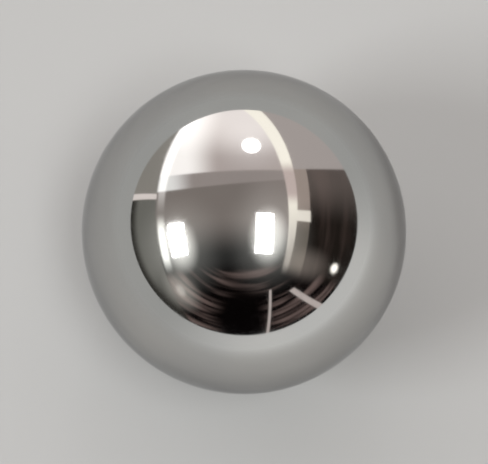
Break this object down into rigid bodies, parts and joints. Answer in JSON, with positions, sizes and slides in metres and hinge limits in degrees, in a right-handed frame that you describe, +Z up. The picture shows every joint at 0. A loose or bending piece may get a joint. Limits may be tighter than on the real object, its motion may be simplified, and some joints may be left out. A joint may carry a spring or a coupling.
{
  "type": "steel ball",
  "caption": "Solid steel ball, ground and lapped to a true sphere with a dark mirror polish, that rolls freely or sits in a ring, cup or socket.",
  "frame": {"origin": "centre of the ball", "axes": "+Z up, away from the ring, cup or socket that carries the ball; X and Y are level, and the ball is the same all round"},
  "size_m": [0.0381, 0.038, 0.0382],
  "materials": {
    "lapped_steel": "polished"
  },
  "bodies": {
    "root": {"ball": "lapped_steel"}
  },
  "joints": []
}
